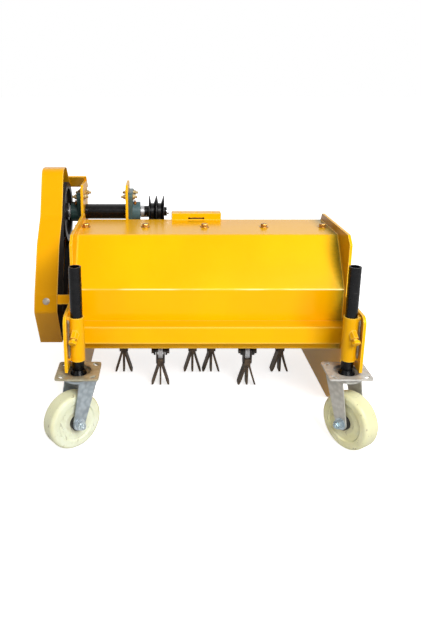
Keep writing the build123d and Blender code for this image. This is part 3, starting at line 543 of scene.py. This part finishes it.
fastenerPlan = {
    "gold_zinc": {
        "seed": 61, "light": (216, 190, 136), "stain": (96, 70, 40), "amount": 0.6,
        "spangle": 0.4, "gloss": 0.14, "metal": 0.75,
    },
    "brown_zinc": {
        "seed": 62, "light": (206, 158, 84), "stain": (84, 52, 22), "amount": 0.6,
        "spangle": 0.4, "gloss": 0.14, "metal": 0.75,
    },
    "bright_zinc": {
        "seed": 63, "light": (226, 228, 232), "stain": (160, 150, 130),
        "spangle": 0.15, "gloss": 0.16, "metal": 0.6,
    },
    "copper_brass": {
        "seed": 64, "light": (214, 140, 70), "stain": (140, 80, 34), "spangle": 0.1, "gloss": 0.24,
    },
    "raw_weld": {
        "seed": 67, "light": (150, 140, 122), "stain": (84, 66, 44), "amount": 0.8,
        "spangle": 0.4, "gloss": 0.36, "metal": 0.5,
    },
    "shackle_zinc": {
        "seed": 68, "light": (240, 242, 246), "stain": (150, 140, 120), "amount": 0.1,
        "spangle": 0.2, "metal": 0.25,
    },
    "dull_zinc": {
        "seed": 69, "light": (176, 168, 156), "stain": (110, 88, 60), "amount": 0.6,
        "spangle": 0.3, "gloss": 0.3, "metal": 0.6,
    },
    "nut_zinc_left": {
        "seed": 71, "light": (206, 218, 222), "stain": (90, 110, 120), "amount": 0.3,
        "gloss": 0.14, "metal": 0.6,
    },
    "nut_zinc_right": {
        "seed": 71, "light": (170, 190, 198), "stain": (90, 110, 120), "amount": 0.3,
        "gloss": 0.14, "metal": 0.6,
    },
}


def dress(name, made):
    slots = nodes[name].material_slots
    if not slots:
        nodes[name].data.materials.append(made)
    for slot in slots:
        slot.material = made


for name, settings in yellowPlan.items():
    dress(name, yellowPaint("yellow_" + name, **settings))
for name, settings in darkPlan.items():
    dress(name, darkPaint("dark_" + name, **settings))
for name, settings in zincPlan.items():
    dress(name, zincPlate("zinc_" + name, **settings))
for name, settings in wheelPlan.items():
    dress("castor_wheel_" + name, nylon("nylon_" + name, "castor_roll_" + name, **settings))
dress("flail_blades", bladeSteel("blade_steel", 51))
dress("drive_belts", rubber("belt_rubber", 54))
zincs = {name: zincPlate(name, **settings) for name, settings in fastenerPlan.items()}
weldYellow = yellowPaint("weld_yellow", 65, deep=0.12, edge=0.6)


# Mesh helpers
def placed(point, way, turn=0.0):  # +Z of a small part laid along a direction at a place in metres
    laid = Vector(way).to_track_quat("Z", "Y").to_matrix().to_4x4()
    return Matrix.Translation(point) @ laid @ Matrix.Rotation(turn, 4, "Z")


def lathe(work, place, profile, sides, smooth=True):  # profile of (radius, height) in millimetres
    rings = []
    for radius, height in profile:
        if radius <= 0:
            rings.append([work.verts.new(place @ Vector((0, 0, height * mm)))])
            continue
        ring = []
        for step in range(sides):
            angle = 2 * math.pi * step / sides
            around = Vector((radius * math.cos(angle), radius * math.sin(angle), height))
            ring.append(work.verts.new(place @ (around * mm)))
        rings.append(ring)
    for low, high in zip(rings, rings[1:]):
        count = max(len(low), len(high))
        for step in range(count):
            here, after = step, (step + 1) % count
            corners = []
            for ring, index in ((low, here), (low, after), (high, after), (high, here)):
                corner = ring[index % len(ring)]
                if corner not in corners:
                    corners.append(corner)
            if len(corners) > 2:
                work.faces.new(corners).smooth = smooth


bevelSteps = 2


def finishPiece(name, work, made, body, bevel=0.0):
    mesh = bpy.data.meshes.new(name)
    bmesh.ops.recalc_face_normals(work, faces=work.faces)
    work.to_mesh(mesh)
    work.free()
    piece = bpy.data.objects.new(name, mesh)
    bpy.context.scene.collection.objects.link(piece)
    piece.data.materials.append(made)
    if bevel:
        modifier = piece.modifiers.new("edges", "BEVEL")
        modifier.width = bevel * mm
        modifier.segments = bevelSteps
        modifier.limit_method = "ANGLE"
    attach(piece, body)
    return piece


washerShape = {"thick": 1.6, "foot": 0.94, "low": 0.25, "high": 0.8, "top": 0.95, "sides": 36}
hexShape = {
    "rim": 0.93, "chamfer": 0.8, "crown": 0.9, "sink": 0.9, "dome": 0.84, "rise": 1.02,
    "sides": 6, "domeSides": 24,
}
threadShape = {"pitch": 1.25, "root": 0.88, "tip": 0.8, "sides": 20}


def hexHead(work, place, radius, height, washer=0.0):  # washer is its radius, or 0 for none
    base = 0.0
    if washer:
        base = washerShape["thick"]
        lathe(work, place, [
            (0, 0), (washer * washerShape["foot"], 0), (washer, base * washerShape["low"]),
            (washer, base * washerShape["high"]), (washer * washerShape["top"], base), (0, base),
        ], washerShape["sides"])
    top, rise = base + height, base + height * hexShape["rise"]
    rim = radius * hexShape["rim"]
    crown, dome = rim * hexShape["crown"], rim * hexShape["dome"]
    sides = [(0, base), (radius, base), (radius, base + height * hexShape["chamfer"]), (rim, top)]
    lathe(work, place, sides, hexShape["sides"], False)
    lathe(work, place, [(crown, top), (dome, rise), (0, rise)], hexShape["domeSides"])
    lathe(work, place, [(rim, top), (crown, top), (crown, base + height * hexShape["sink"])],
          hexShape["sides"], False)


def thread(radius, base, length, turns):
    profile = []
    for turn in range(turns):
        profile.append((radius, base + length * turn / turns))
        profile.append((radius * threadShape["root"], base + length * (turn + 0.5) / turns))
    return profile


def hexNut(work, place, radius, height, stub, tail, washer):  # with the bolt's end of radius stub
    hexHead(work, place, radius, height, washer)
    base = height + washerShape["thick"]
    turns = max(2, int(tail / threadShape["pitch"]))
    lathe(work, place, [
        (0, 0), (stub, 0), (stub, base), *thread(stub, base, tail, turns),
        (stub * threadShape["tip"], base + tail), (0, base + tail),
    ], threadShape["sides"])


beadShape = {
    "sides": 10, "step": 1.8, "endSize": 0.35, "endGrow": 0.3, "ripple": 0.14, "rate": 1.9, "uneven": 0.08,
}


def weldBead(work, path, radius, seed, step=beadShape["step"]):  # ripples along a line in millimetres
    chance = random.Random(seed)
    points = []
    for first, second in zip(path, path[1:]):
        count = max(2, int((second - first).length / step))
        points += [first.lerp(second, share / count) for share in range(count)]
    points.append(path[-1])
    last = len(points) - 1
    sides = beadShape["sides"]
    rings = []
    for index, point in enumerate(points):
        ahead = points[min(index + 1, last)] - points[max(index - 1, 0)]
        turn = ahead.to_track_quat("Z", "Y").to_matrix()
        ends = min(1.0, beadShape["endSize"] + beadShape["endGrow"] * min(index, last - index))
        uneven = chance.uniform(-beadShape["uneven"], beadShape["uneven"])
        size = radius * ends * (1 + beadShape["ripple"] * math.sin(index * beadShape["rate"]) + uneven)
        ring = []
        for side in range(sides):
            angle = 2 * math.pi * side / sides
            around = Vector((size * math.cos(angle), size * math.sin(angle), 0))
            ring.append(work.verts.new((point + turn @ around) * mm))
        rings.append(ring)
    for low, high in zip(rings, rings[1:]):
        for side in range(sides):
            after = (side + 1) % sides
            work.faces.new([low[side], low[after], high[after], high[side]]).smooth = True
    work.faces.new(rings[0])
    work.faces.new(list(reversed(rings[-1])))


def onDeck(*points):
    return [deck + Vector(point) for point in points]


# Bolts of the flange
print("flange bolts")
flangeBolts = {
    "places": (-366, -184, -3, 179, 358), "back": 345.5, "radius": 10.4, "head": 9, "washer": 13.5,
    "turn": 0.3,
}
flangeTop = span("hood_front")[1].z
work = bmesh.new()
for index, across in enumerate(flangeBolts["places"]):
    place = placed(spot(across, flangeBolts["back"], flangeTop), (0, 0, 1), flangeBolts["turn"] + index)
    hexHead(work, place, flangeBolts["radius"], flangeBolts["head"], flangeBolts["washer"])
finishPiece("flange_bolts", work, zincs["brown_zinc"], "root")

# Bolts of the jackshaft bearings: nuts on the ears of the housings and behind the plates
print("bearing bolts")
bearingBolts = {
    "ears": ((-40, 57), (40, 57), (0, -50)), "ear": 14,
    "turns": (1, 0.7), "radii": (8.8, 8.2),  # on the ear, and behind the plate
}
bearingNut = {"height": 6.5, "stub": 4.6, "tail": 7, "washer": 12}
jackLine = middleOf("jackshaft")
for name, faces in (("left", -1), ("right", 1)):
    plateLow, plateHigh = span("bearing_plate_" + name)
    seat = plateLow.x if faces < 0 else plateHigh.x
    back = plateHigh.x if faces < 0 else plateLow.x
    works = bmesh.new(), bmesh.new()
    for index, (along, up) in enumerate(bearingBolts["ears"]):
        for side, across in enumerate((seat + faces * bearingBolts["ear"], back)):
            point = Vector((across, jackLine.y + along, jackLine.z + up)) * mm
            way = (-faces, 0, 0) if side else (faces, 0, 0)
            place = placed(point, way, index * bearingBolts["turns"][side])
            hexNut(works[side], place, bearingBolts["radii"][side], **bearingNut)
    for kind, work in zip(("bearing_bolts_", "bearing_nuts_"), works):
        finishPiece(kind + name, work, zincs["gold_zinc"], "root")

# Grease fittings on the bearing housings
print("grease fittings")
greasePlan = {
    "in": 21, "foot": 32, "lean": 0.5, "hexSides": 6, "sides": 20,
    "hex": ((0, 0), (5.2, 0), (5.2, 6), (4, 7), (0, 7)),
    "nipple": ((3.1, 6.5), (3.1, 10), (2.2, 11), (2.2, 12.4), (3.0, 13.2), (3.0, 14.6), (1.6, 16), (0, 16)),
}
for name, faces in (("left", -1), ("right", 1)):
    low, high = span("bearing_housing_" + name)
    seat = high.x if faces < 0 else low.x
    lean = Vector((0, -math.sin(greasePlan["lean"]), math.cos(greasePlan["lean"])))
    foot = Vector((seat + faces * greasePlan["in"], jackLine.y, jackLine.z)) + lean * greasePlan["foot"]
    work = bmesh.new()
    place = placed(foot * mm, lean)
    lathe(work, place, greasePlan["hex"], greasePlan["hexSides"], False)
    lathe(work, place, greasePlan["nipple"], greasePlan["sides"])
    finishPiece("grease_fitting_" + name, work, zincs["copper_brass"], "root")

# Bolt and washer in the end of the jackshaft
print("shaft end")
shaftEnd = {
    "radius": 9.5, "head": 6, "turn": 0.2, "thick": 2.4, "sides": 40,
    "washer": ((0, 0), (14.5, 0), (15.1, 0.7), (14.5, 2.4), (0, 2.4)),
}
work = bmesh.new()
end = Vector((span("jackshaft")[1].x, jackLine.y, jackLine.z))
lathe(work, placed(end * mm, (1, 0, 0)), shaftEnd["washer"], shaftEnd["sides"])
place = placed((end + Vector((shaftEnd["thick"], 0, 0))) * mm, (1, 0, 0), shaftEnd["turn"])
hexHead(work, place, shaftEnd["radius"], shaftEnd["head"])
finishPiece("shaft_end_bolt", work, zincs["bright_zinc"], "jackshaft")

# Set screws of the jackshaft's right collar and of the drive pulley's hub
print("set screws")
setScrews = {
    "turns": (2.2, 4.3), "fromCollar": -6, "fromHub": 7, "collarFoot": 18, "hubFoot": 17, "sides": 18,
    "profile": ((0, 0), (3.2, 0), (3.2, 2.4), (2.72, 2.8), (1.76, 2.8), (1.6, 1.4), (0, 1.4)),
}
collarEnd = span("shaft_collars")[1].x + setScrews["fromCollar"]
hubEnd = span("drive_pulley")[0].x + setScrews["fromHub"]
work = bmesh.new()
for across, radius in ((collarEnd, setScrews["collarFoot"]), (hubEnd, setScrews["hubFoot"])):
    for turn in setScrews["turns"]:
        way = Vector((0, -math.sin(turn), math.cos(turn)))
        foot = Vector((across, jackLine.y, jackLine.z)) + way * radius
        lathe(work, placed(foot * mm, way), setScrews["profile"], setScrews["sides"])
finishPiece("set_screws", work, zincs["gold_zinc"], "jackshaft")

# Bolts of the belt guard: one through the front fold, one through the bracket
print("guard bolts")
guardBolts = {
    "radius": 7.4, "head": 5, "washer": 10.5, "turn": 0.4,
    "places": (((-480, 244.2, 315), (0, -0.949, 0.316)), ((-458, 595.8, 621.8), (0, 0.707, 0.707))),
}
work = bmesh.new()
for point, way in guardBolts["places"]:
    place = placed(spot(*point), way, guardBolts["turn"])
    hexHead(work, place, guardBolts["radius"], guardBolts["head"], guardBolts["washer"])
finishPiece("guard_bolts", work, zincs["dull_zinc"], "root")

# Nuts and bolt ends on the axle heads that face the front
print("axle nuts")
axleNut = {"radius": 8.8, "height": 6.5, "stub": 5, "tail": 3, "washer": 11.6}
axleNutTurn = 0.3
for name in ("left", "right"):
    joint = jointOf("castor_roll_" + name)
    centre, way = Vector(joint["pos_m"]), Vector(joint["axis"])
    if way.y > 0:
        way = -way
    axle = nodes["castor_axle_" + name]
    out = max((axle.matrix_world @ vertex.co - centre).dot(way) for vertex in axle.data.vertices)
    work = bmesh.new()
    hexNut(work, placed(centre + way * out, way, axleNutTurn), **axleNut)
    finishPiece("axle_nut_" + name, work, zincs["nut_zinc_" + name], "swivel_" + name)

# Painted shade of a slot and two small holes on the face of the hitch bracket, as thin dark pieces standing
# just proud of it
print("hitch slot")
hitchSlot = {"ends": (-45.4, 0.3), "height": 525, "half": 2.2, "proud": 0.25, "hole": 3.4, "sides": 24}
slotFaces = ((0, 1, 3, 2), (4, 6, 7, 5), (0, 4, 5, 1), (2, 3, 7, 6), (1, 5, 7, 3))
slotPaint = {"seed": 66, "colour": (20, 15, 10), "gloss": 0.7, "rust": 0.0}
hitchLow, hitchHigh = span("hitch_bracket")
hole, proud = hitchSlot["hole"], hitchSlot["proud"]
work = bmesh.new()
for across in hitchSlot["ends"]:
    place = placed(Vector((deck.x + across, hitchLow.y, hitchSlot["height"])) * mm, (0, -1, 0))
    lathe(work, place, [(0, 0), (hole, 0), (hole, proud), (0, proud)], hitchSlot["sides"])
corners = []
for across in hitchSlot["ends"]:
    for up in (-hitchSlot["half"], hitchSlot["half"]):
        for out in (0, -proud):
            corner = Vector((deck.x + across, hitchLow.y + out, hitchSlot["height"] + up))
            corners.append(work.verts.new(corner * mm))
for face in slotFaces:
    work.faces.new([corners[index] for index in face])
finishPiece("hitch_slot", work, darkPaint("slot_shade", **slotPaint), "root")

# Clamp bolts of the castor sleeves, with hex heads and threads, in place of the plain solids
print("clamp bolts")
clampPlan = {
    "slope": 40, "turn": 12, "height": 336, "start": 26.6, "face": 44, "head": 7.84, "radius": 11,
    "shank": 5.9, "tip": 0.8, "pitch": 1.6, "sides": 24, "twist": 0.3, "bevel": 0.4,
}
slope, turned = math.radians(clampPlan["slope"]), math.radians(clampPlan["turn"])
reach, shank = clampPlan["face"] - clampPlan["start"], clampPlan["shank"]
for name, side in (("left", -1), ("right", 1)):
    flat = math.cos(slope)
    way = Vector((side * math.sin(turned) * flat, -math.cos(turned) * flat, -math.sin(slope)))
    centre = middleOf("castor_tube_" + name)
    root = Vector((centre.x, centre.y, clampPlan["height"]))
    work = bmesh.new()
    lathe(work, placed((root + way * clampPlan["start"]) * mm, way), [
        (0, 0), (shank * clampPlan["tip"], 0), *thread(shank, 0, reach, int(reach / clampPlan["pitch"])),
        (shank, reach), (0, reach),
    ], clampPlan["sides"])
    place = placed((root + way * clampPlan["face"]) * mm, way, clampPlan["twist"])
    hexHead(work, place, clampPlan["radius"], clampPlan["head"])
    bevel = clampPlan["bevel"]
    piece = finishPiece("clamp_bolt_hex_" + name, work, weldYellow, "root", bevel)
    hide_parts("clamp_bolt_" + name)

# Weld beads: hood and crossbar to the side plates, hitch bracket to the flange
print("weld beads")
hoodWelds = {
    "radius": 1.9, "hitchAhead": 2, "hitchBack": 12, "hitchEnd": 4,
    "lines": (  # back and up of both ends of each bead on a side plate
        ((148, 300), (148, 386)), ((148, 386), (252, 519.5)), ((252, 519.5), (448, 519.5)),
        ((100, 292.5), (146, 292.5)), ((97.5, 246), (97.5, 290)),
    ),
}
beads = []
for side in (-1, 1):
    for start, end in hoodWelds["lines"]:
        beads.append(onDeck((side * halfWide, *start), (side * halfWide, *end)))
for across in (hitchLow.x, hitchHigh.x):
    beads.append([
        Vector((across, hitchLow.y + hoodWelds["hitchAhead"], flangeTop)),
        Vector((across, hitchLow.y + hoodWelds["hitchBack"], flangeTop)),
    ])
beads.append([
    Vector((hitchLow.x + hoodWelds["hitchEnd"], hitchLow.y, flangeTop)),
    Vector((hitchHigh.x - hoodWelds["hitchEnd"], hitchLow.y, flangeTop)),
])
work = bmesh.new()
for seed, bead in enumerate(beads):
    weldBead(work, bead, hoodWelds["radius"], seed)
finishPiece("weld_beads", work, weldYellow, "root")

# Raw welds in front of and behind the sleeves, on the arms of the side plates
print("pad welds")
padWelds = {"radius": 3.6, "in": 2.5, "heights": (250, 358), "step": 3.2, "runs": ((-9.5, 40), (9.5, 50))}
work = bmesh.new()
for side in (-1, 1):
    edge = side * (halfWide - padWelds["in"])
    for back, seed in padWelds["runs"]:
        path = onDeck(*((edge, back, height) for height in padWelds["heights"]))
        weldBead(work, path, padWelds["radius"], side + seed, padWelds["step"])
finishPiece("pad_welds", work, zincs["raw_weld"], "root")

# Middle links of the flails, between the two links of each shackle
print("flail links")
flailPlan = {
    "pivot": 89, "line": 31, "lean": 50.3, "thick": 7.2, "end": 10, "reach": 26, "foot": 9, "steps": 12,
    "bevel": 0.8,
}
flailShares = {  # places of each line's flails, as parts of half the width
    -1: (0.3632,), 1: (0.0816, 0.6842), 2: (0.8421,), -2: (0.221, 0.5237),
}
rotorLine = middleOf("rotor")
work = bmesh.new()
for line, shares in flailShares.items():
    turned = flailPlan["line"] * line  # lines 1 and -1 hang under the drum
    if abs(line) == 2:  # lines 2 and -2 stand on top of it
        turned = 180 - turned / 2
    angle = math.radians(turned)
    back, up = flailPlan["pivot"] * math.sin(angle), -flailPlan["pivot"] * math.cos(angle)
    hang = 0.0
    if up > 0:
        hang = math.atan2(-back, up) + math.copysign(math.radians(flailPlan["lean"]), back)
    along = Vector((0, math.sin(hang), -math.cos(hang)))  # down along the flail
    beside = Vector((0, math.cos(hang), math.sin(hang)))
    outline = []
    for step in range(flailPlan["steps"] + 1):
        turn = math.pi * step / flailPlan["steps"]
        outline.append((beside * math.cos(turn) - along * math.sin(turn)) * flailPlan["end"])
    for foot in (-flailPlan["foot"], flailPlan["foot"]):
        outline.append(along * flailPlan["reach"] + beside * foot)
    for share in [value * side for value in shares for side in (-1, 1)]:
        pivot = Vector((deck.x + share * halfWide, rotorLine.y + back, rotorLine.z + up))
        rings = []
        for side in (-1, 1):
            shift = Vector((side * flailPlan["thick"], 0, 0))
            rings.append([work.verts.new((pivot + shift + point) * mm) for point in outline])
        near, far = rings
        work.faces.new(near)
        work.faces.new(list(reversed(far)))
        for index in range(len(outline)):
            after = (index + 1) % len(outline)
            work.faces.new([near[index], near[after], far[after], far[index]])
finishPiece("flail_links", work, zincs["shackle_zinc"], "rotor", flailPlan["bevel"])

# Floor: white to the camera with the machine's shadow, and grey to other rays
print("floor, light and camera")
floorPlan = {
    "reach": 30, "drop": 0.0005, "grey": (0.5, 0.5, 0.5, 1), "glow": 0.74, "near": 0.7, "far": 1.8,
    "mirrored": 0.4,
}
reach = floorPlan["reach"]
floorMesh = bpy.data.meshes.new("floor")
floorCorners = [(-reach, -reach, 0), (reach, -reach, 0), (reach, reach, 0), (-reach, reach, 0)]
floorMesh.from_pydata(floorCorners, [], [(0, 1, 2, 3)])
floor = bpy.data.objects.new("floor", floorMesh)
bpy.context.scene.collection.objects.link(floor)
floor.location.z = -floorPlan["drop"]
made, g = material("floor_white")
rays = g.node("ShaderNodeLightPath", {}, {})
seen = rays.wire("Is Camera Ray") + rays.wire("Is Transmission Ray")
seen = (seen + rays.wire("Is Glossy Ray") * floorPlan["mirrored"]).held()
plain = g.node("ShaderNodeBsdfDiffuse", {}, {"Color": floorPlan["grey"]}).wire(0)
away = g.vectors("LENGTH", "Value", g.place())
level = away.ramp(floorPlan["near"], floorPlan["far"]) * (1.0 - floorPlan["glow"]) + floorPlan["glow"]
glow = g.node("ShaderNodeCombineColor", {}, {0: level, 1: level, 2: level}).wire(0)
shown = g.node("ShaderNodeBsdfPrincipled", {}, {
    "Base Color": white, "Roughness": 1.0, "Specular IOR Level": 0.0,
    "Emission Color": glow, "Emission Strength": 1.0,
}).wire(0)
both = g.node("ShaderNodeMixShader", {}, {0: seen, 1: plain, 2: shown}).wire(0)
g.node("ShaderNodeOutputMaterial", {}, {"Surface": both})
floor.data.materials.append(made)

# World: white to the camera, soft studio walls to shiny surfaces, low even light to the rest
worldPlan = {
    "ambient": 0.30, "front": 0.22, "behind": 0.75, "overhead": 0.2,
    "behindRamp": (-0.2, 0.7), "overheadRamp": (0.55, 0.95),
}
world = bpy.data.worlds.new("studio")
bpy.context.scene.world = world
g = Graph(world)
rays = g.node("ShaderNodeLightPath", {}, {})
seen = rays.wire("Is Camera Ray").calc("MAXIMUM", rays.wire("Is Transmission Ray"))
shiny = rays.wire("Is Glossy Ray")
sky = g.split(g.node("ShaderNodeTexCoord", {}, {}).wire("Generated"))
behind = sky[1].ramp(*worldPlan["behindRamp"]) * worldPlan["behind"]
overhead = sky[2].ramp(*worldPlan["overheadRamp"]) * worldPlan["overhead"]
mirrored = worldPlan["front"] + behind + overhead
strength = shiny * mirrored + (1.0 - shiny) * worldPlan["ambient"]
studio = g.node("ShaderNodeBackground", {}, {"Color": white, "Strength": strength}).wire(0)
plain = g.node("ShaderNodeBackground", {}, {"Color": white, "Strength": 1.0}).wire(0)
both = g.node("ShaderNodeMixShader", {}, {0: seen, 1: studio, 2: plain}).wire(0)
g.node("ShaderNodeOutputWorld", {}, {"Surface": both})


def softBox(name, away, turn, rise, size, power, aim):  # degrees to the right of the front, and up
    light = bpy.data.lights.new(name, "AREA")
    light.shape = "RECTANGLE"
    light.size, light.size_y = size
    light.energy = power
    lamp = bpy.data.objects.new(name, light)
    bpy.context.scene.collection.objects.link(lamp)
    turned, risen = math.radians(turn), math.radians(rise)
    way = Vector((math.sin(turned) * math.cos(risen), -math.cos(turned) * math.cos(risen), math.sin(risen)))
    lamp.location = way * away + Vector((0, 0, aim))
    lamp.rotation_euler = (-way).to_track_quat("-Z", "Y").to_euler()


softBoxes = {
    "key_right": {"away": 4.0, "turn": 22, "rise": 37, "size": (2.0, 1.8), "power": 172, "aim": 0.35},
    "fill_left": {"away": 4.2, "turn": -40, "rise": 24, "size": (2.2, 2.2), "power": 18, "aim": 0.35},
}
for name, settings in softBoxes.items():
    softBox(name, **settings)

# Camera as fitted to the photograph: focal length, middle and frame are in its pixels
cameraPlan = {
    "place": (-140.05, -1498.3, 959.8), "tilt": 15.1, "focal": 618.1, "middle": (159.8, 245.1),
    "frame": (421, 631), "sensor": 24, "near": 0.05,
}
cameraData = bpy.data.cameras.new("camera")
camera = bpy.data.objects.new("camera", cameraData)
bpy.context.scene.collection.objects.link(camera)
bpy.context.scene.camera = camera
camera.location = spot(*cameraPlan["place"])
camera.rotation_euler = (math.pi / 2 - math.radians(cameraPlan["tilt"]), 0, 0)
wide, tall = cameraPlan["frame"]
middleX, middleY = cameraPlan["middle"]
cameraData.sensor_fit = "VERTICAL"
cameraData.sensor_height = cameraPlan["sensor"]
cameraData.lens = cameraPlan["focal"] / tall * cameraPlan["sensor"]
cameraData.shift_x = (wide / 2 - middleX) / tall
cameraData.shift_y = -(tall / 2 - middleY) / tall
cameraData.clip_start = cameraPlan["near"]
bpy.context.scene.view_settings.view_transform = "Standard"
print("done")
